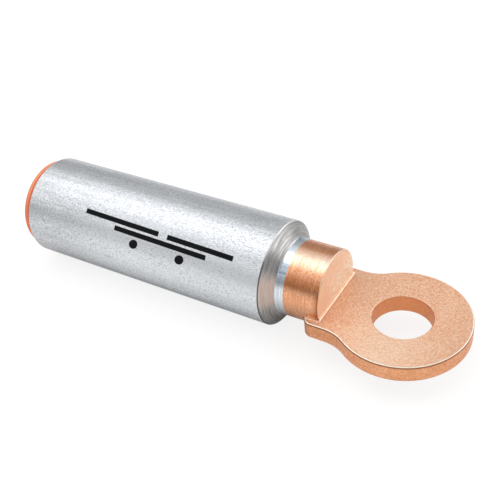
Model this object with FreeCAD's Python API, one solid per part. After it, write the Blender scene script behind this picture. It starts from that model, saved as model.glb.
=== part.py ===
import FreeCAD, Part
import math
import os

from FreeCAD import Vector

# Bimetallic cable lug: an aluminium barrel friction-welded to a forged copper palm, with a push-in plug.
# Millimetres. The origin is the bolt hole's centre on the contact face, the flat underside of the palm.
# +Z points up through the palm, +X to its tip, and the barrel runs towards -X.

# Palm, forged flat and pierced
BOLT_HOLE_D = 17.0
PALM_D = 38.5
PALM_T = 5.8
ROOT_FLARE_R = 12.0
ROOT_LAND_L = 2.66
CONTACT_EDGE_R = 1.3
TOP_DEBURR = 0.35
HOLE_DEBURR = 0.3

# Copper neck, left round behind the step, with the root's shoulders on both flanks
NECK_D = 23.2
NECK_L = 10.9
AXIS_H = 8.7
SHOULDER_W = 2.05
SHOULDER_L = 4.2
SHOULDER_R = 2.6
ROOT_BLEND_R = 0.9
UNDER_BLEND_R = 1.5
NECK_DEBURR = 0.25

# Aluminium barrel, turned from bar and drilled
BARREL_D = 32.0
BARREL_L = 93.0
COLLAR_L = 2.5
CONE_L = 3.2
CONE_ROOT_R = 0.8
HEEL_DEBURR = 0.3
MOUTH_CHAMFER = 0.4
BORE_D = 20.5
BORE_WEB_L = 15.0
DRILL_POINT_ANGLE = 118.0
LEAD_IN_FLARE = 1.25
LEAD_IN_L = 8.0

# End plug, moulded: its ribbed stem wedges in the lead-in and leaves the bore's wall free
FLANGE_INSET = 1.5
FLANGE_T = 3.3
FLANGE_CHAMFER = 0.5
STEM_END_GAP = 1.5
STEM_CLEARANCE = 0.35
STEM_WALL = 1.6
STEM_FLOOR_T = 1.5
GRIP_RIB_COUNT = 6
GRIP_RIB_W = 1.2
GRIP_RIB_CLEARANCE = 0.08

# The root is wider than the neck by its shoulders, and a flare joins each side to the ring
PALM_R = PALM_D / 2
NECK_R = NECK_D / 2
ROOT_Y = NECK_R + SHOULDER_W
FLARE_Y = ROOT_Y + ROOT_FLARE_R
FLARE_X = -math.sqrt((PALM_R + ROOT_FLARE_R) ** 2 - FLARE_Y ** 2)

# Planes across the axis, from the palm back to the plug
STEP_X = FLARE_X - ROOT_LAND_L
WELD_X = STEP_X - NECK_L
CONE_END_X = WELD_X - COLLAR_L
CONE_START_X = CONE_END_X - CONE_L
BORE_END_X = WELD_X - BORE_WEB_L
MOUTH_X = WELD_X - BARREL_L
FLANGE_X = MOUTH_X - FLANGE_T
LEAD_IN_END_X = MOUTH_X + LEAD_IN_L
STEM_END_X = LEAD_IN_END_X - STEM_END_GAP

AXIS_POINT = Vector(0, 0, AXIS_H)
AXIS_DIRECTION = Vector(1, 0, 0)
TOLERANCE = 1e-4


def same(a, b):
    return abs(a - b) < TOLERANCE


def turned(profile):
    """Solid of revolution about the barrel's axis, from (x, radius) points."""
    points = [Vector(x, 0, AXIS_H + radius) for x, radius in profile]
    outline = Part.makePolygon(points + points[:1])
    return Part.Face(outline).revolve(AXIS_POINT, AXIS_DIRECTION, 360)


def circles(shape, diameter, x=None):
    """Circular edges of this diameter, at x along the barrel's axis where x is given."""
    round_edges = [edge for edge in shape.Edges if isinstance(edge.Curve, Part.Circle)]
    fitting = [edge for edge in round_edges if same(2 * edge.Curve.Radius, diameter)]
    if x is None:
        return fitting
    return [edge for edge in fitting if same(edge.Curve.Center.x, x)]


def edges_at_height(shape, z):
    return [edge for edge in shape.Edges if same(edge.BoundBox.ZMin, z) and same(edge.BoundBox.ZMax, z)]


def arc(centre_x, centre_y, radius, start_deg, end_deg):
    """Arc in the XY plane, its angles counted anticlockwise from +X."""
    points = []
    for degrees in (start_deg, (start_deg + end_deg) / 2, end_deg):
        turn = math.radians(degrees)
        points.append(Vector(centre_x + radius * math.cos(turn), centre_y + radius * math.sin(turn), 0))
    return Part.Arc(*points).toShape()


def line(x1, y1, x2, y2):
    return Part.makeLine(Vector(x1, y1, 0), Vector(x2, y2, 0))


def plate_outline():
    """Ring round the hole, flared into the root, whose shoulders curve back into the neck."""
    flare_deg = math.degrees(math.atan2(FLARE_Y, -FLARE_X))
    back_x = STEP_X - SHOULDER_L
    shoulder_x = back_x + SHOULDER_R
    shoulder_y = ROOT_Y - SHOULDER_R
    edges = [
        arc(0, 0, PALM_R, flare_deg - 180, 180 - flare_deg),
        arc(FLARE_X, FLARE_Y, ROOT_FLARE_R, -flare_deg, -90),
        line(FLARE_X, ROOT_Y, shoulder_x, ROOT_Y),
        arc(shoulder_x, shoulder_y, SHOULDER_R, 90, 180),
        line(back_x, shoulder_y, back_x, -shoulder_y),
        arc(shoulder_x, -shoulder_y, SHOULDER_R, 180, 270),
        line(shoulder_x, -ROOT_Y, FLARE_X, -ROOT_Y),
        arc(FLARE_X, -FLARE_Y, ROOT_FLARE_R, 90, flare_deg),
    ]
    return Part.Wire(Part.__sortEdges__(edges))


def neck_creases(shape, z):
    """Edges where the neck meets the palm at this height: along the step's face and both flanks."""
    flank_y = math.sqrt(NECK_R ** 2 - (AXIS_H - z) ** 2)
    found = []
    for edge in edges_at_height(shape, z):
        box = edge.BoundBox
        along_step = same(box.XMin, STEP_X) and same(box.XMax, STEP_X)
        along_flank = same(abs(box.YMin), flank_y) and same(box.YMin, box.YMax)
        if along_step or along_flank:
            found.append(edge)
    return found


def palm():
    plate = Part.Face(plate_outline()).extrude(Vector(0, 0, PALM_T))
    plate = plate.makeFillet(CONTACT_EDGE_R, edges_at_height(plate, 0))
    plate = plate.makeChamfer(TOP_DEBURR, edges_at_height(plate, PALM_T))
    neck = Part.makeCylinder(NECK_R, NECK_L, Vector(WELD_X, 0, AXIS_H), AXIS_DIRECTION)
    forging = plate.fuse(neck).removeSplitter()
    forging = forging.makeFillet(UNDER_BLEND_R, neck_creases(forging, 0))
    forging = forging.makeFillet(ROOT_BLEND_R, neck_creases(forging, PALM_T))
    forging = forging.makeChamfer(NECK_DEBURR, circles(forging, NECK_D, STEP_X))
    forging = forging.cut(Part.makeCylinder(BOLT_HOLE_D / 2, PALM_T))
    return forging.makeChamfer(HOLE_DEBURR, circles(forging, BOLT_HOLE_D))


def barrel():
    bore_r = BORE_D / 2
    outer_r = BARREL_D / 2
    drill_tip_x = BORE_END_X + bore_r / math.tan(math.radians(DRILL_POINT_ANGLE / 2))
    body = turned([
        (MOUTH_X, bore_r + LEAD_IN_FLARE),
        (MOUTH_X, outer_r - MOUTH_CHAMFER),
        (MOUTH_X + MOUTH_CHAMFER, outer_r),
        (CONE_START_X, outer_r),
        (CONE_END_X, NECK_R),
        (WELD_X, NECK_R),
        (WELD_X, 0),
        (drill_tip_x, 0),
        (BORE_END_X, bore_r),
        (LEAD_IN_END_X, bore_r),
    ])
    body = body.makeChamfer(HEEL_DEBURR, circles(body, BARREL_D, CONE_START_X))
    return body.makeFillet(CONE_ROOT_R, circles(body, NECK_D, CONE_END_X))


def inside_lead_in(x, clearance):
    """Radius at x of a cone that stands this clear of the lead-in."""
    taper = LEAD_IN_FLARE / LEAD_IN_L
    return BORE_D / 2 + taper * (LEAD_IN_END_X - x) - clearance


def stem(clearance):
    return turned([
        (MOUTH_X, 0),
        (MOUTH_X, inside_lead_in(MOUTH_X, clearance)),
        (STEM_END_X, inside_lead_in(STEM_END_X, clearance)),
        (STEM_END_X, 0),
    ])


def grip_ribs():
    """Ribs along the stem, which hold the plug in the lead-in."""
    envelope = stem(GRIP_RIB_CLEARANCE)
    slabs = []
    for number in range(GRIP_RIB_COUNT):
        slab = Part.makeBox(STEM_END_X - MOUTH_X, GRIP_RIB_W, BORE_D, Vector(MOUTH_X, -GRIP_RIB_W / 2, AXIS_H))
        slab.rotate(AXIS_POINT, AXIS_DIRECTION, 360 * number / GRIP_RIB_COUNT)
        slabs.append(slab.common(envelope))
    return slabs


def end_plug():
    flange_r = BARREL_D / 2 - FLANGE_INSET
    floor_x = STEM_END_X - STEM_FLOOR_T
    flange = turned([
        (FLANGE_X, 0),
        (FLANGE_X, flange_r - FLANGE_CHAMFER),
        (FLANGE_X + FLANGE_CHAMFER, flange_r),
        (MOUTH_X, flange_r),
        (MOUTH_X, 0),
    ])
    wall = STEM_CLEARANCE + STEM_WALL
    pocket = turned([
        (FLANGE_X, 0),
        (FLANGE_X, inside_lead_in(FLANGE_X, wall)),
        (floor_x, inside_lead_in(floor_x, wall)),
        (floor_x, 0),
    ])
    solid_plug = flange.fuse([stem(STEM_CLEARANCE)] + grip_ribs()).removeSplitter()
    return solid_plug.cut(pocket)


os.makedirs("parts", exist_ok=True)
for name, make in (("barrel", barrel), ("palm", palm), ("end_plug", end_plug)):
    shape = make()
    shape.exportStep(f"parts/{name}.step")
    print(name, "solids", len(shape.Solids), "valid", shape.isValid(), "mm3", round(shape.Volume))
print("weld plane", round(WELD_X, 2), "mouth", round(MOUTH_X, 2), "bore wall from", round(LEAD_IN_END_X, 2))
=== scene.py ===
import bmesh
import bpy
import math
from mathutils import Matrix, Vector


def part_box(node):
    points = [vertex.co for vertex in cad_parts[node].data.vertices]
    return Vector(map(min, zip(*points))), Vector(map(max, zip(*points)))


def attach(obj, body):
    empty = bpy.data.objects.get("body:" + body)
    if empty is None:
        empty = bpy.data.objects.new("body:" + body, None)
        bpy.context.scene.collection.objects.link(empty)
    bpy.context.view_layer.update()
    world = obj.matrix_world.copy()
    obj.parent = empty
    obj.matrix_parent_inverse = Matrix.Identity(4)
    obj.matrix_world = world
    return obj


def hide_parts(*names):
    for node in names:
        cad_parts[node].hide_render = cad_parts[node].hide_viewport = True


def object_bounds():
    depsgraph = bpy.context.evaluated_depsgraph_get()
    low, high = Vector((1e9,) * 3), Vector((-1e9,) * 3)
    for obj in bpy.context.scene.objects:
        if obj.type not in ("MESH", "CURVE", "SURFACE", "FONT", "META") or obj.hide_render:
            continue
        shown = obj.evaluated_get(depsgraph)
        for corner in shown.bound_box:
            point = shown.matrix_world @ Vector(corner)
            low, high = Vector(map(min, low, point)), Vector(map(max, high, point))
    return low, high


# Looks of a bimetallic cable lug: turned aluminium barrel, forged copper palm, push-in plug.
# Lengths in the dictionaries are millimetres, and mm turns them into Blender's metres. Names that end in
# Turn or Back hold degrees round the barrel's axis, from its top towards -Y, the side that the photograph
# shows.
mm = 0.001

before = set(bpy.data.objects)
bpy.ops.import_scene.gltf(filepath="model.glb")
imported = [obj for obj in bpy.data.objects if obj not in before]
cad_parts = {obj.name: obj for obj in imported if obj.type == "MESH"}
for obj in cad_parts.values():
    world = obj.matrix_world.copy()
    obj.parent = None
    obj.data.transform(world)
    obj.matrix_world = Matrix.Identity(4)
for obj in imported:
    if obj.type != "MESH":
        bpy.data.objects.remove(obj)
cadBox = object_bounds()
scene = bpy.context.scene

# The turned pieces take their main sizes from the frame
barrelLow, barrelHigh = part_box("barrel")
_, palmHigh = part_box("palm")
plugLow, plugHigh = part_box("end_plug")
axisHeight = (barrelLow.z + barrelHigh.z) / 2 / mm
outerRadius = (barrelHigh.z - barrelLow.z) / 2 / mm
neckRadius = palmHigh.z / mm - axisHeight
mouthX = barrelLow.x / mm
weldX = barrelHigh.x / mm
print("frame loaded: barrel from", round(mouthX, 2), "to", round(weldX, 2), "mm")


# Helpers for node trees

def fill(tree, socket, value):
    if isinstance(value, bpy.types.NodeSocket):
        tree.links.new(value, socket)
    else:
        socket.default_value = value


def addNode(tree, kind, inputs=None, **settings):
    made = tree.nodes.new(kind)
    for name, value in settings.items():
        setattr(made, name, value)
    for name, value in (inputs or {}).items():
        fill(tree, made.inputs[name], value)
    return made


def calc(tree, operation, first, second=0.0, clamp=False):
    made = addNode(tree, "ShaderNodeMath", {0: first, 1: second}, operation=operation, use_clamp=clamp)
    return made.outputs[0]


def times(tree, first, *others):
    for other in others:
        first = calc(tree, "MULTIPLY", first, other)
    return first


def offFrom(tree, value, centre):
    return calc(tree, "ABSOLUTE", calc(tree, "SUBTRACT", value, centre))


def ramp(tree, value, low, high, toLow=0.0, toHigh=1.0):
    limits = {"Value": value, "From Min": low, "From Max": high, "To Min": toLow, "To Max": toHigh}
    return addNode(tree, "ShaderNodeMapRange", limits).outputs["Result"]


def between(tree, value, start, full, fade, end):
    # 1 from full to fade, falling to 0 at start and end
    return times(tree, ramp(tree, value, start, full), ramp(tree, value, end, fade))


def mixColour(tree, mask, first, second):
    # Inputs 6 and 7 are the colours of a mix
    return addNode(tree, "ShaderNodeMix", {0: mask, 6: first, 7: second}, data_type="RGBA").outputs[2]


def mixValue(tree, mask, first, second):
    return addNode(tree, "ShaderNodeMix", {0: mask, 2: first, 3: second}, data_type="FLOAT").outputs[0]


def vectorCalc(tree, operation, first, second=(0, 0, 0)):
    made = addNode(tree, "ShaderNodeVectorMath", {0: first, 1: second}, operation=operation)
    return made.outputs["Value" if operation == "LENGTH" else "Vector"]


def combine(tree, x=0.0, y=0.0, z=0.0):
    return addNode(tree, "ShaderNodeCombineXYZ", {0: x, 1: y, 2: z}).outputs[0]


def separate(tree, vector):
    return addNode(tree, "ShaderNodeSeparateXYZ", {0: vector}).outputs


def noise(tree, vector, scale, detail, roughness=0.5):
    settings = {"Vector": vector, "Scale": scale, "Detail": detail, "Roughness": roughness}
    return addNode(tree, "ShaderNodeTexNoise", settings).outputs["Fac"]


def newGroup(kind, name, inputs):
    # An input takes its kind from its default value, and a geometry has none
    kinds = {float: "NodeSocketFloat", int: "NodeSocketInt", tuple: "NodeSocketVector",
             type(None): "NodeSocketGeometry"}
    group = bpy.data.node_groups.new(name, kind)
    for label, value in inputs.items():
        socket = group.interface.new_socket(label, in_out="INPUT", socket_type=kinds[type(value)])
        if value is not None:
            socket.default_value = value
    return group, addNode(group, "NodeGroupInput").outputs


def giveOut(group, outputs):
    kinds = {"VALUE": "NodeSocketFloat", "VECTOR": "NodeSocketVector", "GEOMETRY": "NodeSocketGeometry"}
    for label, socket in outputs.items():
        group.interface.new_socket(label, in_out="OUTPUT", socket_type=kinds[socket.type])
    fromGroup = addNode(group, "NodeGroupOutput").inputs
    for label, socket in outputs.items():
        group.links.new(socket, fromGroup[label])


def useGroup(tree, group, inputs=None):
    kind = "GeometryNodeGroup" if group.bl_idname == "GeometryNodeTree" else "ShaderNodeGroup"
    return addNode(tree, kind, inputs, node_tree=group).outputs


def newMaterial(name):
    material = bpy.data.materials.new(name)
    material.use_nodes = True
    material.node_tree.nodes.clear()
    return material, material.node_tree


def finishMaterial(tree, inputs, height, bumpHeight, bumpStrength=1.0):
    bump = addNode(tree, "ShaderNodeBump",
                   {"Strength": bumpStrength, "Distance": bumpHeight * mm, "Height": height})
    shader = addNode(tree, "ShaderNodeBsdfPrincipled", {**inputs, "Normal": bump.outputs["Normal"]})
    addNode(tree, "ShaderNodeOutputMaterial", {"Surface": shader.outputs[0]})


# Turning: a line of corners from axis to axis, rounded and spun about the barrel's axis

mergeWithin = 0.001


def wholeCalc(tree, operation, first, second):
    return addNode(tree, "FunctionNodeIntegerMath", {0: first, 1: second}, operation=operation).outputs[0]


def makeRevolve():
    # Profile is a curve in XZ whose z is the radius; the grid's columns are its points, its rows the turns
    inputs = {"Profile": None, "Axis Height": 0.0, "Segments": 96, "Sharp From": 0.6}
    group, given = newGroup("GeometryNodeTree", "revolve", inputs)
    wire = addNode(group, "GeometryNodeCurveToMesh", {"Curve": given["Profile"]}).outputs[0]
    wireSize = addNode(group, "GeometryNodeAttributeDomainSize", {0: wire}, component="MESH")
    count = wireSize.outputs["Point Count"]
    rows = wholeCalc(group, "ADD", given["Segments"], 1)
    grid = addNode(group, "GeometryNodeMeshGrid", {"Vertices X": rows, "Vertices Y": count}).outputs["Mesh"]
    index = addNode(group, "GeometryNodeInputIndex").outputs[0]
    column = wholeCalc(group, "MODULO", index, count)
    row = wholeCalc(group, "DIVIDE_FLOOR", index, count)
    turn = times(group, calc(group, "DIVIDE", row, given["Segments"]), math.tau)
    place = addNode(group, "GeometryNodeInputPosition").outputs[0]
    corner = addNode(group, "GeometryNodeSampleIndex", {"Geometry": wire, "Value": place, "Index": column},
                     data_type="FLOAT_VECTOR", domain="POINT").outputs[0]
    spun = addNode(group, "ShaderNodeVectorRotate", {"Vector": corner, "Angle": turn},
                   rotation_type="X_AXIS").outputs[0]
    raised = vectorCalc(group, "ADD", spun, combine(group, z=given["Axis Height"]))
    skin = addNode(group, "GeometryNodeSetPosition", {"Geometry": grid, "Position": raised}).outputs[0]
    outward = addNode(group, "GeometryNodeFlipFaces", {"Mesh": skin}).outputs[0]
    closed = addNode(group, "GeometryNodeMergeByDistance",
                     {"Geometry": outward, "Distance": mergeWithin * mm}).outputs[0]
    angle = addNode(group, "GeometryNodeInputMeshEdgeAngle").outputs["Unsigned Angle"]
    crisp = addNode(group, "FunctionNodeCompare", {0: angle, 1: given["Sharp From"]},
                    operation="GREATER_THAN").outputs[0]
    shaded = addNode(group, "GeometryNodeSetShadeSmooth",
                     {"Geometry": closed, "Selection": crisp, "Shade Smooth": False}, domain="EDGE")
    giveOut(group, {"Mesh": shaded.outputs[0]})
    return group


revolve = makeRevolve()


def roundedProfile(tree, corners, steps=4):
    # corners: (x, radius, rounding) of each corner, as sockets or metres
    line = addNode(tree, "GeometryNodeMeshLine", {"Count": len(corners), "Offset": (mm, 0, 0)}).outputs[0]
    index = addNode(tree, "GeometryNodeInputIndex").outputs[0]
    places = addNode(tree, "GeometryNodeIndexSwitch", {"Index": index}, data_type="VECTOR")
    rounds = addNode(tree, "GeometryNodeIndexSwitch", {"Index": index}, data_type="FLOAT")
    for switch in (places, rounds):
        while len(switch.index_switch_items) < len(corners):
            switch.index_switch_items.new()
    for number, (x, radius, rounding) in enumerate(corners):
        fill(tree, places.inputs[number + 1], combine(tree, x=x, z=radius))
        fill(tree, rounds.inputs[number + 1], rounding)
    placed = {"Geometry": line, "Position": places.outputs[0]}
    bent = addNode(tree, "GeometryNodeSetPosition", placed).outputs[0]
    curve = addNode(tree, "GeometryNodeMeshToCurve", {"Mesh": bent}).outputs[0]
    softened = {"Curve": curve, "Count": steps, "Radius": rounds.outputs[0], "Limit Radius": True}
    return addNode(tree, "GeometryNodeFilletCurve", softened, mode="POLY").outputs[0]


def finishTree(tree, mesh, material):
    realized = addNode(tree, "GeometryNodeRealizeInstances", {"Geometry": mesh}).outputs[0]
    painted = addNode(tree, "GeometryNodeSetMaterial", {"Geometry": realized, "Material": material})
    giveOut(tree, {"Mesh": painted.outputs[0]})


def inMetres(lengths):
    return {label: value * mm for label, value in lengths.items()}


def growPiece(name, tree, sizes):
    # Runs a geometry tree once and keeps what it makes as a plain mesh
    piece = bpy.data.objects.new(name, bpy.data.meshes.new(name))
    scene.collection.objects.link(piece)
    grower = piece.modifiers.new("grower", "NODES")
    grower.node_group = tree
    for item in tree.interface.items_tree:
        if item.in_out == "INPUT" and item.name in sizes:
            grower[item.identifier] = sizes[item.name]
    graph = bpy.context.evaluated_depsgraph_get()
    grown = bpy.data.meshes.new_from_object(piece.evaluated_get(graph))
    piece.modifiers.remove(grower)
    piece.data = grown
    grown.name = name
    return piece


def placePiece(piece, node, body):
    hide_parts(node)
    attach(piece, body)


# Effects that the finishes share

def makeLugPlace():
    # Turn is in degrees and all else in mm. Marks read from Round Hole run round the bolt hole
    group, given = newGroup("ShaderNodeTree", "lugPlace", {"Axis Height": 0.0, "Swirl": 4.0})
    metres = addNode(group, "ShaderNodeTexCoord").outputs["Object"]
    position = vectorCalc(group, "MULTIPLY", metres, (1 / mm, 1 / mm, 1 / mm))
    along, across, height = separate(group, position)
    up = calc(group, "SUBTRACT", height, given["Axis Height"])
    radius = vectorCalc(group, "LENGTH", combine(group, across, up))
    turn = calc(group, "DEGREES", calc(group, "ARCTAN2", times(group, across, -1.0), up))
    flat = combine(group, along, across)
    fromHole = vectorCalc(group, "LENGTH", flat)
    # Its circle is shorter than the real way round, which draws the marks out
    heading = vectorCalc(group, "NORMALIZE", flat)
    swirl = {0: heading, "Scale": given["Swirl"]}
    circle = addNode(group, "ShaderNodeVectorMath", swirl, operation="SCALE").outputs[0]
    outward = combine(group, z=calc(group, "ADD", fromHole, height))
    roundHole = vectorCalc(group, "ADD", circle, outward)
    giveOut(group, {"Position": position, "Along": along, "Across": across, "Height": height,
                    "Radius": radius, "Turn": turn, "From Hole": fromHole, "Round Hole": roundHole})
    return group


def makeMetalGrain():
    # Mottle: clouds and grain together. Speck: sparse dark pits. Streak: long soft smears along X
    inputs = {"Vector": (0, 0, 0), "Stretch": (1, 1, 1), "Grain Size": 0.6, "Cloud Size": 6.0,
              "Grain Share": 0.6}
    group, given = newGroup("ShaderNodeTree", "metalGrain", inputs)
    smearSize = times(group, given["Cloud Size"], 0.4)
    smearStretch = (0.03, 1, 1)
    cloudSpan = (0.32, 0.68)
    grainSpan = (0.37, 0.63)
    smearSpan = (0.40, 0.68)
    pitSpan = (0.43, 0.31)
    fewerPits = (0.3, 0.7, 0.07, -0.07)

    def sized(vector, size, detail, roughness):
        return noise(group, vector, calc(group, "DIVIDE", 1.0, size), detail, roughness)

    stretched = vectorCalc(group, "DIVIDE", given["Vector"], given["Stretch"])
    fine = sized(stretched, given["Grain Size"], 2.0, 0.55)
    cloud = sized(stretched, given["Cloud Size"], 3.0, 0.55)
    smear = sized(vectorCalc(group, "MULTIPLY", given["Vector"], smearStretch), smearSize, 4.0, 0.7)
    mottle = mixValue(group, given["Grain Share"],
                      ramp(group, cloud, *cloudSpan), ramp(group, fine, *grainSpan))
    patchy = calc(group, "ADD", fine, ramp(group, cloud, *fewerPits))
    giveOut(group, {"Mottle": mottle, "Speck": ramp(group, patchy, *pitSpan),
                    "Streak": ramp(group, smear, *smearSpan)})
    return group


def makeTurningMarks():
    # Rings: fine grooves of a tool round the axis, worn off in patches. Scratches: a few bright stray ones
    inputs = {"Vector": (0, 0, 0), "Pitch": 0.4, "Breaks": 0.5}
    group, given = newGroup("ShaderNodeTree", "turningMarks", inputs)
    ringStretch = (1, 0.03, 0.03)
    ringSpan = (0.3, 0.7)
    patchScale = 0.22
    patchSpan = (0.35, 0.7)
    strayStretch = (2.2, 0.16, 0.16)
    strayScale = 1.6
    straySpan = (0.66, 0.76)
    ringScale = calc(group, "DIVIDE", 1.0, given["Pitch"])
    lines = noise(group, vectorCalc(group, "MULTIPLY", given["Vector"], ringStretch), ringScale, 3.0, 0.7)
    patches = noise(group, given["Vector"], patchScale, 2.0)
    stray = noise(group, vectorCalc(group, "MULTIPLY", given["Vector"], strayStretch), strayScale, 2.0)
    worn = times(group, ramp(group, patches, *patchSpan), given["Breaks"])
    kept = calc(group, "SUBTRACT", 1.0, worn, clamp=True)
    centred = calc(group, "SUBTRACT", ramp(group, lines, *ringSpan), 0.5)
    rings = calc(group, "ADD", times(group, centred, kept), 0.5)
    giveOut(group, {"Rings": rings, "Scratches": ramp(group, stray, *straySpan)})
    return group


lugPlace = makeLugPlace()
metalGrain = makeMetalGrain()
turningMarks = makeTurningMarks()
print("shared trees built")


# Crimp marks: what is printed on the barrel, laid out on its unrolled skin. The first row lies at rowTurn

crimpMarks = {
    "ink": (0.005, 0.006, 0.007, 1),
    "inkRoughness": 0.60,
    "rowTurn": 45.6,
    "middleX": -73.0,
    "slant": 0.018,
    "barWidth": 1.55,
    # Along the axis, from and to, or the centre, and last how far below the first row
    "bars": [(-100.9, -72.9, 0.0), (-69.7, -46.5, 0.0), (-89.0, -55.3, 2.3)],
    "dots": [(-81.1, 5.4), (-64.1, 5.4)],
    "dotRadius": 1.48,
    "dotStretch": 1.05,
    "dotSlant": 0.217,
    "edge": 0.06,
    "depth": (0.3, 0.2),
}


def printedMask(tree, place):
    marks = crimpMarks
    along = place["Along"]
    mmPerDegree = math.radians(outerRadius)
    drop = times(tree, calc(tree, "SUBTRACT", place["Turn"], marks["rowTurn"]), mmPerDegree)
    lean = times(tree, calc(tree, "SUBTRACT", along, marks["middleX"]), marks["slant"])
    drop = calc(tree, "SUBTRACT", drop, lean)
    # Each shape is a distance from its outline, negative inside
    shapes = []
    for start, end, row in marks["bars"]:
        endways = calc(tree, "SUBTRACT", offFrom(tree, along, (start + end) / 2), (end - start) / 2)
        sideways = calc(tree, "SUBTRACT", offFrom(tree, drop, row), marks["barWidth"] / 2)
        shapes.append(calc(tree, "MAXIMUM", endways, sideways))
    for centre, row in marks["dots"]:
        fromRow = calc(tree, "SUBTRACT", drop, row)
        fromCentre = calc(tree, "SUBTRACT", along, centre)
        fromCentre = calc(tree, "ADD", fromCentre, times(tree, fromRow, marks["dotSlant"]))
        fromCentre = calc(tree, "DIVIDE", fromCentre, marks["dotStretch"])
        away = vectorCalc(tree, "LENGTH", combine(tree, fromCentre, fromRow))
        shapes.append(calc(tree, "SUBTRACT", away, marks["dotRadius"]))
    nearest = shapes[0]
    for shape in shapes[1:]:
        nearest = calc(tree, "MINIMUM", nearest, shape)
    inked = ramp(tree, nearest, marks["edge"], -marks["edge"])
    depth = calc(tree, "SUBTRACT", outerRadius, place["Radius"])
    return times(tree, inked, ramp(tree, depth, *marks["depth"]))


# Aluminium barrel, turned from bar, drilled and tumbled

barrel = {
    "collarLength": 2.5,
    "coneLength": 3.2,
    "coneRootRound": 0.8,
    "heelRound": 0.35,
    "mouthChamfer": 0.4,
    "edgeRound": 0.12,
    "boreRadius": 10.25,
    "boreWeb": 15.0,
    "drillPointAngle": 118,
    "leadInFlare": 1.25,
    "leadInLength": 8.0,
    "segments": 192,
}

aluminium = {
    "colour": (0.89, 0.915, 0.945, 1),
    "shade": (0.51, 0.53, 0.55, 1),
    "dimmedColour": (0.60, 0.62, 0.65, 1),
    "speckColour": (0.28, 0.30, 0.34, 1),
    "coneColour": (0.62, 0.61, 0.60, 1),
    "coneShade": (0.15, 0.15, 0.15, 1),
    "coneCopperReflection": (0.76, 0.58, 0.49, 1),
    "collarColour": (0.88, 0.93, 0.98, 1),
    "collarShade": (0.56, 0.62, 0.69, 1),
    "collarPaintedShade": (0.20, 0.27, 0.36, 1),
    "heelHighlight": (0.95, 0.95, 0.95, 1),
    "heelShadeColour": (0.08, 0.08, 0.09, 1),
    "roughness": (0.44, 0.28),  # in the mottle's dark and pale places
    "coneRoughness": 0.34,
    "collarRoughness": 0.20,
    "specular": 0.10,
    "bumpHeight": 0.03,
    "pitDepth": 0.6,
    "ringDepth": 0.6,
    "grain": {"Stretch": (1.9, 1, 1), "Grain Size": 0.37, "Cloud Size": 4.0, "Grain Share": 0.72},
    "turning": {"Pitch": 0.20, "Breaks": 0.3},
    "streakStrength": 0.75,
    "coneEdge": (-0.05, 0.05),
    "collarEdge": (-0.15, 0.05),
    # Marks round the barrel: start, full, fade and end
    "dimmedTurn": (4, 18, 40, 52),
    "litTurn": (42, 52, 100, 112),
    "copperReflectionTurn": (46, 66, 90, 104),
    "coneShadedTurn": (24, 36, 48, 60),
    "collarShadedTurn": (25, 37, 56, 66),
    "copperReflectionStrength": 0.55,
    "coneShadedStrength": 0.5,
    # Marks that grow or fade: the two places, and their strengths there, or else 0 and 1
    "dimmedAlong": (-112, -88, 0.30, 0.60),
    "litAlong": (-110, -92, 0.0, 0.5),
    "pitsByTurn": (36, 60, 0.24, 0.50),
    "coneShadedBack": (4, -12, 0.0, 0.45),
    "collarShadedBack": (-8, -24, 0.0, 0.75),
    "collarShadedByStreak": (0.0, 0.6, 0.95, 0.45),
    "heelLine": (0.22, 0.12),
    "heelDepth": (0.4, 0.3),
    "heelShadeTurn": (26, 44),
    "heelByTurn": (26, 44, 0.4, 0.9),
}


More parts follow.
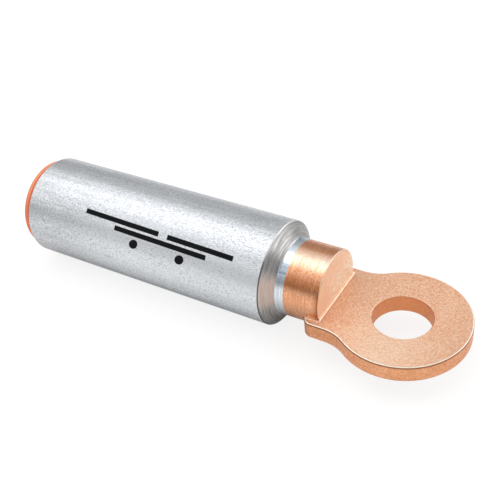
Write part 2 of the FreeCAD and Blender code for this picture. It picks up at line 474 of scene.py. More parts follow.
def makeAluminium():
    look = aluminium
    material, tree = newMaterial("tumbledAluminium")
    place = useGroup(tree, lugPlace, {"Axis Height": axisHeight})
    grain = useGroup(tree, metalGrain, {"Vector": place["Position"], **look["grain"]})
    marks = useGroup(tree, turningMarks, {"Vector": place["Position"], **look["turning"]})
    turn = place["Turn"]
    collarStart = weldX - barrel["collarLength"]
    coneStart = collarStart - barrel["coneLength"]
    pastHeel = calc(tree, "SUBTRACT", place["Along"], coneStart)
    onCone = ramp(tree, pastHeel, *look["coneEdge"])
    onCollar = ramp(tree, calc(tree, "SUBTRACT", place["Along"], collarStart), *look["collarEdge"])

    tumbled = mixColour(tree, grain["Mottle"], look["shade"], look["colour"])
    tumbled = mixColour(tree, times(tree, grain["Streak"], look["streakStrength"]), tumbled, look["shade"])
    # Painted shade: a darker, even colour dims the highlight band along the top, more so away from the
    # mouth.
    # Its mottle is evened there, and pits show most low on the near side
    even = times(tree, between(tree, turn, *look["dimmedTurn"]),
                 ramp(tree, place["Along"], *look["dimmedAlong"]))
    tumbled = mixColour(tree, even, tumbled, look["dimmedColour"])
    # Painted light: low on the near side the skin is lightened towards its pale colour, away from the mouth
    clean = times(tree, between(tree, turn, *look["litTurn"]),
                  ramp(tree, place["Along"], *look["litAlong"]))
    tumbled = mixColour(tree, clean, tumbled, look["colour"])
    pitted = times(tree, grain["Speck"], ramp(tree, turn, *look["pitsByTurn"]))
    tumbled = mixColour(tree, pitted, tumbled, look["speckColour"])
    # Painted reflection of the copper palm on the cone's near flank
    cone = mixColour(tree, marks["Rings"], look["coneShade"], look["coneColour"])
    brushed = times(tree, between(tree, turn, *look["copperReflectionTurn"]), look["copperReflectionStrength"])
    cone = mixColour(tree, brushed, cone, look["coneCopperReflection"])
    # Painted shade on the cone: a band on its near flank, and its top and back
    dulled = times(tree, between(tree, turn, *look["coneShadedTurn"]), look["coneShadedStrength"])
    dulled = calc(tree, "MAXIMUM", dulled, ramp(tree, turn, *look["coneShadedBack"]))
    cone = mixColour(tree, dulled, cone, look["coneShade"])
    collar = mixColour(tree, marks["Rings"], look["collarShade"], look["collarColour"])
    # Painted shade on the collar: a dark blue band on its near flank, broken by streaks, and its back
    tinted = times(tree, between(tree, turn, *look["collarShadedTurn"]),
                   ramp(tree, grain["Streak"], *look["collarShadedByStreak"]))
    tinted = calc(tree, "MAXIMUM", tinted, ramp(tree, turn, *look["collarShadedBack"]))
    collar = mixColour(tree, tinted, collar, look["collarPaintedShade"])
    bare = mixColour(tree, onCollar, mixColour(tree, onCone, tumbled, cone), collar)
    # Painted highlight along the cone's heel above, and painted shade along it below
    depth = calc(tree, "SUBTRACT", outerRadius, place["Radius"])
    onHeel = times(tree, ramp(tree, calc(tree, "ABSOLUTE", pastHeel), *look["heelLine"]),
                   ramp(tree, depth, *look["heelDepth"]), ramp(tree, turn, *look["heelByTurn"]))
    heel = mixColour(tree, ramp(tree, turn, *look["heelShadeTurn"]), look["heelHighlight"], look["heelShadeColour"])
    bare = mixColour(tree, onHeel, bare, heel)
    inked = printedMask(tree, place)
    colour = mixColour(tree, inked, bare, crimpMarks["ink"])

    rough = ramp(tree, grain["Mottle"], 0, 1, *look["roughness"])
    rough = mixValue(tree, onCone, rough, look["coneRoughness"])
    rough = mixValue(tree, onCollar, rough, look["collarRoughness"])
    rough = mixValue(tree, inked, rough, crimpMarks["inkRoughness"])
    pits = times(tree, grain["Speck"], look["pitDepth"])
    height = mixValue(tree, onCone, calc(tree, "SUBTRACT", grain["Mottle"], pits),
                      times(tree, marks["Rings"], look["ringDepth"]))
    inputs = {"Base Color": colour, "Roughness": rough, "Metallic": calc(tree, "SUBTRACT", 1.0, inked),
              "Specular IOR Level": look["specular"]}
    finishMaterial(tree, inputs, height, look["bumpHeight"])
    return material


def makeBarrel(material):
    size = barrel
    drillDepth = size["boreRadius"] / math.tan(math.radians(size["drillPointAngle"] / 2))
    lengths = {
        "Axis Height": axisHeight, "Mouth X": mouthX, "Weld X": weldX, "Outer Radius": outerRadius,
        "Neck Radius": neckRadius, "Collar Length": size["collarLength"], "Cone Length": size["coneLength"],
        "Bore Radius": size["boreRadius"], "Bore Web": size["boreWeb"], "Drill Depth": drillDepth,
        "Lead-in Flare": size["leadInFlare"], "Lead-in Length": size["leadInLength"],
        "Mouth Chamfer": size["mouthChamfer"], "Heel Round": size["heelRound"],
        "Root Round": size["coneRootRound"], "Edge Round": size["edgeRound"],
    }
    sizes = {**inMetres(lengths), "Segments": size["segments"]}
    tree, given = newGroup("GeometryNodeTree", "turnedBarrel", sizes)
    collarStart = calc(tree, "SUBTRACT", given["Weld X"], given["Collar Length"])
    coneStart = calc(tree, "SUBTRACT", collarStart, given["Cone Length"])
    boreEnd = calc(tree, "SUBTRACT", given["Weld X"], given["Bore Web"])
    drillTip = calc(tree, "ADD", boreEnd, given["Drill Depth"])
    leadInEnd = calc(tree, "ADD", given["Mouth X"], given["Lead-in Length"])
    flared = calc(tree, "ADD", given["Bore Radius"], given["Lead-in Flare"])
    chamferRadius = calc(tree, "SUBTRACT", given["Outer Radius"], given["Mouth Chamfer"])
    chamferX = calc(tree, "ADD", given["Mouth X"], given["Mouth Chamfer"])
    edge = given["Edge Round"]
    profile = roundedProfile(tree, [
        (given["Weld X"], 0.0, 0.0),
        (given["Weld X"], given["Neck Radius"], 0.0),
        (collarStart, given["Neck Radius"], given["Root Round"]),
        (coneStart, given["Outer Radius"], given["Heel Round"]),
        (chamferX, given["Outer Radius"], edge),
        (given["Mouth X"], chamferRadius, edge),
        (given["Mouth X"], flared, edge),
        (leadInEnd, given["Bore Radius"], 0.0),
        (boreEnd, given["Bore Radius"], 0.0),
        (drillTip, 0.0, 0.0),
    ])
    turned = useGroup(tree, revolve, {"Profile": profile, "Axis Height": given["Axis Height"],
                                      "Segments": given["Segments"]})["Mesh"]
    finishTree(tree, turned, material)
    piece = growPiece("turnedBarrel", tree, sizes)
    placePiece(piece, "barrel", "lug")
    print("barrel turned:", len(piece.data.polygons), "faces")


makeBarrel(makeAluminium())


# Copper palm: turned on the neck, pressed at the step, pickled and brushed on the palm

palm = {
    "thickness": 5.8,
    "stepX": -20.51,
    "holeRadius": 8.5,
    "deburr": 0.35,
    "footBlend": 0.9,
    "seamGap": 0.0005,
    # How far a deburr's faces may lie and lean from where they should, and which normals join on it
    "deburrMargin": 0.05,
    "slopeError": 0.06,
    "sameSide": 0.3,
}

# Where the masks of the palm's faces and lines are 0 and where they are 1: mm past the edge that is named,
# or the share of the normal that points up or along
palmEdges = {
    "flat": (0.75, 0.95),
    "behindStep": (0.1, -0.1),
    "neckSkin": (0.45, 0.15),
    "holeSkin": (0.3, 0.15),
    "aboveTop": (0.2, 0.5),
    "underTop": (0.05, 0.02),
    "nearTop": (0.1, 0.0),
    "rimSlope": (0.40, 0.60, 0.96, 0.995),
    "rimByHole": (0.6, 1.0, 0.25, 1.0),
    "endSlope": (0.25, 0.45, 0.90, 0.98),
    "endSkin": (0.4, 0.3),
    "footShare": 0.6,
    "footSides": (-0.2, -0.5),
    "footHeight": (0.9, 0.7),
    "footHighlight": (0.24, 0.10),
    "creaseOffset": 0.40,
    "crease": (0.20, 0.08),
    "underRim": (-0.45, -0.15),
    "upright": (0.3, 0.1),
    "contactShade": (0.75, 0.25),
    "contactAlong": (-30, -26),
}

copper = {
    "neckColour": (1.00, 0.60, 0.38, 1),
    "neckShade": (0.66, 0.22, 0.08, 1),
    "neckHighlightColour": (0.86, 0.74, 0.61, 1),
    "neckPaintedShade": (0.50, 0.17, 0.06, 1),
    "scratchAndHighlightColour": (1.00, 0.88, 0.74, 1),
    "endShadeColour": (0.16, 0.06, 0.03, 1),
    "edgeShadeColour": (0.20, 0.07, 0.03, 1),
    "stepColour": (1.00, 0.94, 0.78, 1),
    "stepShade": (0.93, 0.58, 0.38, 1),
    "topColour": (1.00, 0.72, 0.52, 1),
    "topShade": (0.76, 0.33, 0.165, 1),
    "topLitColour": (1.00, 0.82, 0.63, 1),
    "topShadedColour": (0.72, 0.43, 0.29, 1),
    "sideColour": (0.96, 0.51, 0.29, 1),
    "sideShade": (0.63, 0.25, 0.10, 1),
    "holeColour": (1.00, 0.42, 0.20, 1),
    "rimHighlightColour": (1.00, 0.96, 0.86, 1),
    "neckRoughness": (0.33, 0.19),  # between the rings and on them
    "topRoughness": (0.58, 0.42),  # in the grain's dark and pale places
    "stepRoughness": 0.62,
    "sideRoughness": 0.42,
    "rimRoughness": 0.32,
    "stepMetallic": 0.45,
    "topMetallic": 0.65,
    "rimMetallic": 0.50,
    "bumpHeight": 0.05,
    "sideBump": 0.6,
    "rimBump": 0.5,
    "swirl": 7.0,
    "grain": {"Grain Size": 0.55, "Cloud Size": 5.0, "Grain Share": 0.65},
    "strokes": {"Grain Size": 0.34, "Cloud Size": 3.0, "Grain Share": 0.9},
    "turning": {"Pitch": 0.30, "Breaks": 0.5},
    "neckGrain": 0.35,
    "neckSpeck": 0.5,
    "neckScratch": 0.6,
    "topStrokes": 0.75,
    "topLitStrength": 0.35,
    "footShine": 0.60,
    "footShade": 0.6,
    "neckEnd": 0.8,
    "underRimShade": 0.8,
    "contactShade": 0.7,
    "sideGrain": (0.10, 0.90),
    "holeGrain": (0.30, 0.80),
    # Marks round the neck: start, full, fade and end
    "neckHighlightTurn": (-4, 10, 22, 36),
    "darkBandTurn": (40, 50, 60, 66),
    # Marks that grow or fade: the two places, and their strengths there, or else 0 and 1
    "shadedBack": (4, -26, 0.0, 0.9),
    "shadedByStepTurn": (40, 54),
    "shadedBehindStep": (-1.6, -0.3, 0.0, 0.85),
    "neckHighlightByRing": (0.2, 0.8, 0.45, 0.90),
    "shadeByRing": (0.2, 0.8, 0.90, 0.60),
    "endTurn": (50, 66),
    "topLitAcross": (2, -12),
    "topLitAlong": (16, 4),
    "topShadedAlong": (9, 19, 0.0, 0.40),
    "stepDarkerAcross": (0, -6, 0.0, 0.7),
    "stepDarkerHeight": (11, 17, 0.0, 0.7),
}


def makePalmMasks(tree, place, pastStep):
    edges = palmEdges
    facingAlong, _, facingUp = separate(tree, addNode(tree, "ShaderNodeNewGeometry").outputs["Normal"])
    overTop = calc(tree, "SUBTRACT", place["Height"], palm["thickness"])
    offTop = calc(tree, "ABSOLUTE", overTop)
    nearTop = ramp(tree, calc(tree, "SUBTRACT", offTop, palm["deburr"]), *edges["nearTop"])
    underTop = ramp(tree, overTop, *edges["underTop"])
    offNeck = offFrom(tree, place["Radius"], neckRadius)
    pastHole = calc(tree, "SUBTRACT", place["From Hole"], palm["holeRadius"])
    onSkin = ramp(tree, offNeck, *edges["neckSkin"])
    aboveTop = ramp(tree, overTop, *edges["aboveTop"])
    masks = {
        "neck": times(tree, onSkin, ramp(tree, pastStep, *edges["behindStep"])),
        "top": times(tree, ramp(tree, facingUp, *edges["flat"]), nearTop),
        "step": times(tree, ramp(tree, facingAlong, *edges["flat"]), aboveTop),
        "hole": ramp(tree, pastHole, *edges["holeSkin"]),
    }
    # Masks for painted highlights on the deburred rims: the palm's outline, the hole's less so, and the
    # neck's end
    masks["rim"] = times(tree, between(tree, facingUp, *edges["rimSlope"]), nearTop, underTop,
                         ramp(tree, pastHole, *edges["rimByHole"]))
    masks["neckEnd"] = times(tree, between(tree, facingAlong, *edges["endSlope"]),
                             ramp(tree, calc(tree, "ABSOLUTE", pastStep), *edges["endSkin"]),
                             ramp(tree, offNeck, *edges["endSkin"]))
    # Painted highlight along the step's foot, with a line of painted shade before it
    fromFoot = calc(tree, "SUBTRACT", pastStep, palm["footBlend"] * edges["footShare"])
    pastSides = calc(tree, "SUBTRACT", calc(tree, "ABSOLUTE", place["Across"]), neckRadius)
    atFoot = times(tree, ramp(tree, pastSides, *edges["footSides"]),
                   ramp(tree, offTop, *edges["footHeight"]))
    offLine = calc(tree, "ABSOLUTE", fromFoot)
    offCrease = offFrom(tree, fromFoot, edges["creaseOffset"])
    masks["footHighlight"] = times(tree, ramp(tree, offLine, *edges["footHighlight"]), atFoot)
    masks["footShadeLine"] = times(tree, ramp(tree, offCrease, *edges["crease"]), atFoot)
    # Painted shade along the sides, close under the palm's rim and down by the contact face
    underDeburr = calc(tree, "ADD", overTop, palm["deburr"])
    masks["underRim"] = times(tree, ramp(tree, underDeburr, *edges["underRim"]),
                              ramp(tree, facingUp, *edges["upright"]), underTop)
    masks["contact"] = times(tree, ramp(tree, place["Height"], *edges["contactShade"]),
                             ramp(tree, place["Along"], *edges["contactAlong"]))
    return masks


def makeNeckColour(tree, place, grain, marks, pastStep):
    look = copper
    turn = place["Turn"]
    brushed = mixValue(tree, look["neckGrain"], marks["Rings"], grain["Mottle"])
    neck = mixColour(tree, brushed, look["neckShade"], look["neckColour"])
    neck = mixColour(tree, times(tree, grain["Speck"], look["neckSpeck"]), neck, look["neckShade"])
    # Painted highlight: the neck is paler along its top, where the overhead light falls. Painted shade: a
    # dark band beside that, its top and back darker, and darker still low on its near side beside the step
    rubbed = times(tree, between(tree, turn, *look["neckHighlightTurn"]),
                   ramp(tree, marks["Rings"], *look["neckHighlightByRing"]))
    neck = mixColour(tree, rubbed, neck, look["neckHighlightColour"])
    smeared = between(tree, turn, *look["darkBandTurn"])
    darkened = calc(tree, "MAXIMUM", smeared, ramp(tree, turn, *look["shadedBack"]))
    darkened = times(tree, darkened, ramp(tree, marks["Rings"], *look["shadeByRing"]))
    tucked = times(tree, ramp(tree, turn, *look["shadedByStepTurn"]),
                   ramp(tree, pastStep, *look["shadedBehindStep"]))
    neck = mixColour(tree, calc(tree, "MAXIMUM", darkened, tucked), neck, look["neckPaintedShade"])
    scratched = times(tree, marks["Scratches"], look["neckScratch"])
    return mixColour(tree, scratched, neck, look["scratchAndHighlightColour"])


def makeTopColour(tree, place, topGrain):
    # Painted light: the palm is paler on its near side, and painted shade darkens it by the step and at the
    # tip
    look = copper
    offMiddle = calc(tree, "ABSOLUTE", place["Along"])
    top = mixColour(tree, topGrain, look["topShade"], look["topColour"])
    top = mixColour(tree, ramp(tree, offMiddle, *look["topShadedAlong"]), top, look["topShadedColour"])
    worn = times(tree, ramp(tree, place["Across"], *look["topLitAcross"]),
                 ramp(tree, offMiddle, *look["topLitAlong"]), look["topLitStrength"])
    return mixColour(tree, worn, top, look["topLitColour"])


def makeCopper():
    look = copper
    material, tree = newMaterial("forgedCopper")
    place = useGroup(tree, lugPlace, {"Axis Height": axisHeight, "Swirl": look["swirl"]})
    grain = useGroup(tree, metalGrain, {"Vector": place["Position"], **look["grain"]})
    strokes = useGroup(tree, metalGrain, {"Vector": place["Round Hole"], **look["strokes"]})
    marks = useGroup(tree, turningMarks, {"Vector": place["Position"], **look["turning"]})
    pastStep = calc(tree, "SUBTRACT", place["Along"], palm["stepX"])
    masks = makePalmMasks(tree, place, pastStep)

    topGrain = mixValue(tree, look["topStrokes"], grain["Mottle"], strokes["Mottle"])
    # The step face is darker towards its near end and its top
    faded = calc(tree, "MAXIMUM", ramp(tree, place["Across"], *look["stepDarkerAcross"]),
                 ramp(tree, place["Height"], *look["stepDarkerHeight"]))
    step = mixColour(tree, strokes["Mottle"], look["stepShade"], look["stepColour"])
    step = mixColour(tree, faded, step, look["stepShade"])
    sideGrain = ramp(tree, grain["Mottle"], 0, 1, *look["sideGrain"])
    holeGrain = ramp(tree, grain["Mottle"], 0, 1, *look["holeGrain"])
    # The neck's end: painted highlight above, turning to painted shade low on its near side
    neckEnd = mixColour(tree, ramp(tree, place["Turn"], *look["endTurn"]),
                        look["scratchAndHighlightColour"], look["endShadeColour"])
    # The faces and lines, each laid over the ones before it: mask, strength and colour
    layers = [
        ("underRim", look["underRimShade"], look["edgeShadeColour"]),
        ("contact", look["contactShade"], look["edgeShadeColour"]),
        ("hole", 1.0, mixColour(tree, holeGrain, look["sideShade"], look["holeColour"])),
        ("step", 1.0, step),
        ("top", 1.0, makeTopColour(tree, place, topGrain)),
        ("footHighlight", look["footShine"], look["rimHighlightColour"]),
        ("footShadeLine", look["footShade"], look["neckShade"]),
        ("neck", 1.0, makeNeckColour(tree, place, grain, marks, pastStep)),
        ("rim", 1.0, look["rimHighlightColour"]),
        ("neckEnd", look["neckEnd"], neckEnd),
    ]
    colour = mixColour(tree, sideGrain, look["sideShade"], look["sideColour"])
    for name, strength, layer in layers:
        colour = mixColour(tree, times(tree, masks[name], strength), colour, layer)

    rough = mixValue(tree, masks["step"], look["sideRoughness"], look["stepRoughness"])
    rough = mixValue(tree, masks["top"], rough, ramp(tree, topGrain, 0, 1, *look["topRoughness"]))
    rough = mixValue(tree, masks["neck"], rough, ramp(tree, marks["Rings"], 0, 1, *look["neckRoughness"]))
    rough = mixValue(tree, masks["rim"], rough, look["rimRoughness"])
    metallic = mixValue(tree, masks["top"], 1.0, look["topMetallic"])
    metallic = mixValue(tree, masks["step"], metallic, look["stepMetallic"])
    metallic = mixValue(tree, masks["rim"], metallic, look["rimMetallic"])
    height = mixValue(tree, masks["top"], times(tree, grain["Mottle"], look["sideBump"]), topGrain)
    height = mixValue(tree, masks["neck"], height, mixValue(tree, 0.5, marks["Rings"], grain["Mottle"]))
    height = mixValue(tree, masks["rim"], height, look["rimBump"])
    inputs = {"Base Color": colour, "Roughness": rough, "Metallic": metallic}
    finishMaterial(tree, inputs, height, look["bumpHeight"])
    return material


def makePalm(material):
    # The forging's own mesh, its seams merged; flat deburrs shade as rounds between the faces they join
    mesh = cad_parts["palm"].data.copy()
    mesh.name = "forgedPalm"
    normals = [Vector(corner.vector) for corner in mesh.corner_normals]
    flats = [polygon.normal.copy() for polygon in mesh.polygons]
    shape = bmesh.new()
    shape.from_mesh(mesh)
    bmesh.ops.remove_doubles(shape, verts=shape.verts, dist=palm["seamGap"] * mm)
    shape.to_mesh(mesh)
    shape.free()

    halfwayUp = math.sqrt(0.5)
    top = palm["thickness"] * mm
    band = (palm["deburr"] + palm["deburrMargin"]) * mm

    def onDeburr(polygon):
        normal = flats[polygon.index]
        middle = polygon.center
        flatRim = abs(abs(normal.z) - halfwayUp) < palm["slopeError"]
        flatRim = flatRim and (top - middle.z < band or middle.z < band)
        neckRim = abs(normal.x - halfwayUp) < palm["slopeError"]
        return flatRim or (neckRim and abs(middle.x - palm["stepX"] * mm) < band)

    deburrs = {polygon.index for polygon in mesh.polygons if onDeburr(polygon)}
    meeting = {}
    for polygon in mesh.polygons:
        if polygon.index not in deburrs:
            for corner in polygon.loop_indices:
                meeting.setdefault(mesh.loops[corner].vertex_index, []).append(normals[corner])
    for number in deburrs:
        for corner in mesh.polygons[number].loop_indices:
            joined = meeting.get(mesh.loops[corner].vertex_index, [])
            near = [normal for normal in joined if normal.dot(flats[number]) > palm["sameSide"]]
            if near:
                normals[corner] = sum(near, Vector()).normalized()
    mesh.shade_smooth()
    mesh.normals_split_custom_set(normals)
    mesh.materials.clear()
    mesh.materials.append(material)
    piece = bpy.data.objects.new("forgedPalm", mesh)
    scene.collection.objects.link(piece)
    placePiece(piece, "palm", "lug")
    print("palm dressed:", len(mesh.polygons), "faces,", len(deburrs), "on deburrs")


makePalm(makeCopper())


# Push-in plug: flange, hollow stem and grip ribs of moulded plastic

plug = {
    "flangeInset": 1.5,
    "flangeChamfer": 0.5,
    "stemClearance": 0.35,
    "stemWall": 1.6,
    "stemFloor": 1.5,
    "ribCount": 6,
    "ribWidth": 1.2,
    "ribClearance": 0.08,
    "edgeRound": 0.25,
    "segments": 144,
}

plugPlastic = {
    "colour": (0.92, 0.150, 0.038, 1),
    "paleColour": (1.00, 0.22, 0.065, 1),
    "flangeHighlightColour": (1.00, 0.38, 0.16, 1),
    "flangeShadeColour": (0.58, 0.075, 0.022, 1),
    "roughness": (0.31, 0.44),  # in the flow's dark and pale places
    "bumpHeight": 0.02,
    "bumpStrength": 0.2,
    "flow": {"Grain Size": 0.3, "Cloud Size": 3.5, "Grain Share": 0.3},
    "bandFromMouth": 2.15,
    "seam": (0.7, 0.1),
    "flangeHighlightByTurn": (40, 75, 0.9, 0.2),
    "edge": (0.4, 0.9, 0.0, 0.7),
    "edgeEnd": (1.14, 1.04),
}


def makePlastic():
    look = plugPlastic
    material, tree = newMaterial("orangePlastic")
    place = useGroup(tree, lugPlace, {"Axis Height": axisHeight})
    flow = useGroup(tree, metalGrain, {"Vector": place["Position"], **look["flow"]})
    colour = mixColour(tree, flow["Mottle"], look["colour"], look["paleColour"])
    # Painted highlight: a paler band runs round the flange's rim, strongest above, between edges of painted
    # shade
    offSeam = offFrom(tree, place["Along"], mouthX - look["bandFromMouth"])
    seam = times(tree, ramp(tree, offSeam, *look["seam"]), ramp(tree, place["Turn"], *look["flangeHighlightByTurn"]))
    colour = mixColour(tree, seam, colour, look["flangeHighlightColour"])
    edge = times(tree, ramp(tree, offSeam, *look["edge"]), ramp(tree, offSeam, *look["edgeEnd"]))
    colour = mixColour(tree, edge, colour, look["flangeShadeColour"])
    inputs = {"Base Color": colour, "Roughness": ramp(tree, flow["Mottle"], 0, 1, *look["roughness"])}
    finishMaterial(tree, inputs, flow["Mottle"], look["bumpHeight"], look["bumpStrength"])
    return material


def makePlug(material):
    # The stem follows the barrel's lead-in at the same clearances as the solids
    size = plug
    flangeX = plugLow.x / mm
    stemEndX = plugHigh.x / mm
    floorX = stemEndX - size["stemFloor"]
    leadInEnd = mouthX + barrel["leadInLength"]
    taper = barrel["leadInFlare"] / barrel["leadInLength"]

    def insideLeadIn(x, clearance):
        return barrel["boreRadius"] + taper * (leadInEnd - x) - clearance

    wall = size["stemClearance"] + size["stemWall"]
    lengths = {
        "Axis Height": axisHeight, "Mouth X": mouthX, "Flange X": flangeX,
        "Flange Radius": outerRadius - size["flangeInset"], "Flange Chamfer": size["flangeChamfer"],
        "Stem End X": stemEndX, "Floor X": floorX,
        "Stem Mouth Radius": insideLeadIn(mouthX, size["stemClearance"]),
        "Stem End Radius": insideLeadIn(stemEndX, size["stemClearance"]),
        "Pocket Flange Radius": insideLeadIn(flangeX, wall),
        "Pocket Floor Radius": insideLeadIn(floorX, wall),
        "Rib Width": size["ribWidth"], "Rib Rise": size["stemClearance"] - size["ribClearance"],
        "Edge Round": size["edgeRound"],
    }
    sizes = {**inMetres(lengths), "Rib Count": size["ribCount"], "Segments": size["segments"]}
    tree, given = newGroup("GeometryNodeTree", "pushInPlug", sizes)
    chamferRadius = calc(tree, "SUBTRACT", given["Flange Radius"], given["Flange Chamfer"])
    chamferX = calc(tree, "ADD", given["Flange X"], given["Flange Chamfer"])
    edge = given["Edge Round"]
    profile = roundedProfile(tree, [
        (given["Stem End X"], 0.0, 0.0),
        (given["Stem End X"], given["Stem End Radius"], edge),
        (given["Mouth X"], given["Stem Mouth Radius"], 0.0),
        (given["Mouth X"], given["Flange Radius"], edge),
        (chamferX, given["Flange Radius"], edge),
        (given["Flange X"], chamferRadius, edge),
        (given["Flange X"], given["Pocket Flange Radius"], edge),
        (given["Floor X"], given["Pocket Floor Radius"], edge),
        (given["Floor X"], 0.0, 0.0),
    ])
    turned = useGroup(tree, revolve, {"Profile": profile, "Axis Height": given["Axis Height"],
                                      "Segments": given["Segments"]})["Mesh"]

    # One rib stands on the stem's top, its root in the flange, and follows the taper; copies are turned
    # about the axis
    length = calc(tree, "SUBTRACT", given["Stem End X"], given["Mouth X"])
    middle = times(tree, calc(tree, "ADD", given["Stem End X"], given["Mouth X"]), 0.5)
    middle = calc(tree, "SUBTRACT", middle, given["Edge Round"])
    block = combine(tree, length, given["Rib Width"], 1.0)
    cube = addNode(tree, "GeometryNodeMeshCube", {"Size": block}).outputs["Mesh"]
    local = separate(tree, addNode(tree, "GeometryNodeInputPosition").outputs[0])
    along = calc(tree, "ADD", local[0], middle)
    stemRadius = ramp(tree, along, given["Mouth X"], given["Stem End X"],
                      given["Stem Mouth Radius"], given["Stem End Radius"])
    rise = ramp(tree, local[2], -0.5, 0.5, times(tree, given["Rib Rise"], -1.0), given["Rib Rise"])
    shaped = combine(tree, along, local[1], calc(tree, "ADD", stemRadius, rise))
    rib = addNode(tree, "GeometryNodeSetPosition", {"Geometry": cube, "Position": shaped}).outputs[0]
    spots = addNode(tree, "GeometryNodeMeshLine", {"Count": given["Rib Count"], "Offset": (0, 0, 0)})
    number = addNode(tree, "GeometryNodeInputIndex").outputs[0]
    angle = times(tree, calc(tree, "DIVIDE", number, given["Rib Count"]), math.tau)
    turn = addNode(tree, "FunctionNodeAxisAngleToRotation", {"Axis": (1, 0, 0), "Angle": angle}).outputs[0]
    copies = {"Points": spots.outputs[0], "Instance": rib, "Rotation": turn}
    ribs = addNode(tree, "GeometryNodeInstanceOnPoints", copies).outputs[0]
    solidRibs = addNode(tree, "GeometryNodeRealizeInstances", {"Geometry": ribs}).outputs[0]
    raised = addNode(tree, "GeometryNodeSetPosition",
                     {"Geometry": solidRibs, "Offset": combine(tree, z=given["Axis Height"])}).outputs[0]
    both = addNode(tree, "GeometryNodeJoinGeometry")
    for mesh in (turned, raised):
        tree.links.new(mesh, both.inputs[0])
    finishTree(tree, both.outputs[0], material)
    piece = growPiece("pushInPlug", tree, sizes)
    placePiece(piece, "end_plug", "plug")
    print("plug moulded:", len(piece.data.polygons), "faces")


makePlug(makePlastic())


# Floor, light and camera

studio = {
    "floorSize": 4000,
    "floorColour": 0.94,
    "shownFloorColour": 0.28,
    "shownFloorGlow": 0.80,
    "farFloor": (250, 700),
    "floorGlossShare": 0.60,
    "underShadowColour": 0.62,
    "underShade": (5, 40),
    "underPalm": (-35, -20),
    "worldLevel": 0.46,
    "worldGlossShare": 0.06,
    "aim": (-50, 0, 9),
    # Azimuth from +X and elevation in degrees, distance, width, height, and power in W
    "lamps": {
        "ceilingPanel": (130, 75, 900, 1100, 1100, 1.9),
        "overheadSoftbox": (181, 60, 700, 430, 430, 0.70),
        "frontSoftbox": (-143, 40, 700, 520, 480, 0.52),
        "sideSoftbox": (46, 24, 700, 900, 520, 2.1),
        "tipCard": (-12, 13, 500, 420, 200, 0.08),
        "rimStrip": (-50, 42, 520, 1000, 160, 0.40),
    },
}


def grey(level):
    return (level, level, level, 1)


def seenRays(tree, glossShare):
    # 1 for camera and transmission rays, which see the white background, and a share of it for glossy rays
    path = addNode(tree, "ShaderNodeLightPath").outputs
    seen = calc(tree, "MAXIMUM", path["Is Camera Ray"], path["Is Transmission Ray"])
    return calc(tree, "MAXIMUM", seen, times(tree, path["Is Glossy Ray"], glossShare))


def makeFloor():
    half = studio["floorSize"] * mm / 2
    low = cadBox[0][2]
    mesh = bpy.data.meshes.new("floor")
    corners = [(-half, -half, low), (half, -half, low), (half, half, low), (-half, half, low)]
    mesh.from_pydata(corners, [], [(0, 1, 2, 3)])
    floor = bpy.data.objects.new("floor", mesh)
    scene.collection.objects.link(floor)
    material, tree = newMaterial("whiteFloor")
    shown = addNode(tree, "ShaderNodeBsdfDiffuse", {"Color": grey(studio["shownFloorColour"])})
    # The glow rises to white far out, where the lamps no longer reach
    metres = addNode(tree, "ShaderNodeTexCoord").outputs["Object"]
    place = vectorCalc(tree, "MULTIPLY", metres, (1 / mm, 1 / mm, 0))
    far = vectorCalc(tree, "LENGTH", place)
    strength = ramp(tree, far, *studio["farFloor"], studio["shownFloorGlow"], 1.0)
    glow = addNode(tree, "ShaderNodeEmission", {"Strength": strength})
    glowing = addNode(tree, "ShaderNodeAddShader", {0: shown.outputs[0], 1: glow.outputs[0]})
    # Painted shadow: the floor's colour is darker close under the barrel, and metal sees more of the white
    # farther out and under the palm
    along, side, _ = separate(tree, place)
    aside = ramp(tree, calc(tree, "ABSOLUTE", side), *studio["underShade"])
    clear = calc(tree, "MAXIMUM", aside, ramp(tree, along, *studio["underPalm"]))
    lit = mixColour(tree, clear, grey(studio["underShadowColour"]), grey(studio["floorColour"]))
    plain = addNode(tree, "ShaderNodeBsdfDiffuse", {"Color": lit})
    seen = seenRays(tree, times(tree, clear, studio["floorGlossShare"]))
    mixed = addNode(tree, "ShaderNodeMixShader", {0: seen, 1: plain.outputs[0], 2: glowing.outputs[0]})
    addNode(tree, "ShaderNodeOutputMaterial", {"Surface": mixed.outputs[0]})
    mesh.materials.append(material)


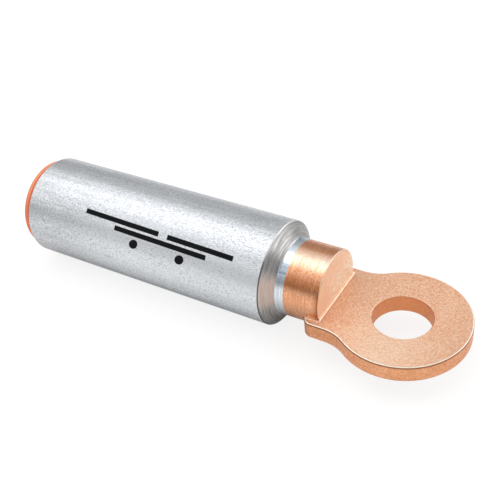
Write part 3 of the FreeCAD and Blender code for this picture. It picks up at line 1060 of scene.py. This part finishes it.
def makeWorld():
    world = bpy.data.worlds.new("studio")
    world.use_nodes = True
    scene.world = world
    tree = world.node_tree
    tree.nodes.clear()
    level = mixValue(tree, seenRays(tree, studio["worldGlossShare"]), studio["worldLevel"], 1.0)
    background = addNode(tree, "ShaderNodeBackground", {"Color": grey(1), "Strength": level})
    addNode(tree, "ShaderNodeOutputWorld", {"Surface": background.outputs[0]})


def makeLamp(name, azimuth, elevation, distance, width, height, power):
    lamp = bpy.data.lights.new(name, "AREA")
    lamp.shape = "RECTANGLE"
    lamp.size = width * mm
    lamp.size_y = height * mm
    lamp.energy = power
    made = bpy.data.objects.new(name, lamp)
    scene.collection.objects.link(made)
    a, e = math.radians(azimuth), math.radians(elevation)
    back = Vector((math.cos(a) * math.cos(e), math.sin(a) * math.cos(e), math.sin(e)))
    turn = back.to_track_quat("Z", "Y").to_matrix().to_4x4()
    made.matrix_world = Matrix.Translation((Vector(studio["aim"]) + back * distance) * mm) @ turn


makeFloor()
makeWorld()
for lampName, lampValues in studio["lamps"].items():
    makeLamp(lampName, *lampValues)

# The camera's azimuth counts from -Y towards +X
view = {
    "azimuth": 35.374,
    "elevation": 38.215,
    "roll": -7.013,
    "distance": 249.29,
    "target": (-39.23, 0, 6.54),
    "pan": (-8.683, 7.820),
    "focalPixels": 839.413,
    "framePixels": 500,
    "sensor": 36,
    "clipStart": 10,
}


def makeCamera():
    a, e, roll = (math.radians(view[key]) for key in ("azimuth", "elevation", "roll"))
    back = Vector((math.sin(a) * math.cos(e), -math.cos(a) * math.cos(e), math.sin(e)))
    level = Vector((math.cos(a), math.sin(a), 0))
    upright = back.cross(level)
    right = level * math.cos(roll) + upright * math.sin(roll)
    up = upright * math.cos(roll) - level * math.sin(roll)
    panRight, panUp = view["pan"]
    position = Vector(view["target"]) + back * view["distance"] + right * panRight + up * panUp
    data = bpy.data.cameras.new("camera")
    data.sensor_width = view["sensor"]
    data.lens = view["sensor"] * view["focalPixels"] / view["framePixels"]
    data.clip_start = view["clipStart"] * mm
    camera = bpy.data.objects.new("camera", data)
    scene.collection.objects.link(camera)
    turn = Matrix((right, up, back)).transposed().to_4x4()
    camera.matrix_world = Matrix.Translation(position * mm) @ turn
    scene.camera = camera


makeCamera()
scene.view_settings.view_transform = "Standard"
print("studio ready")
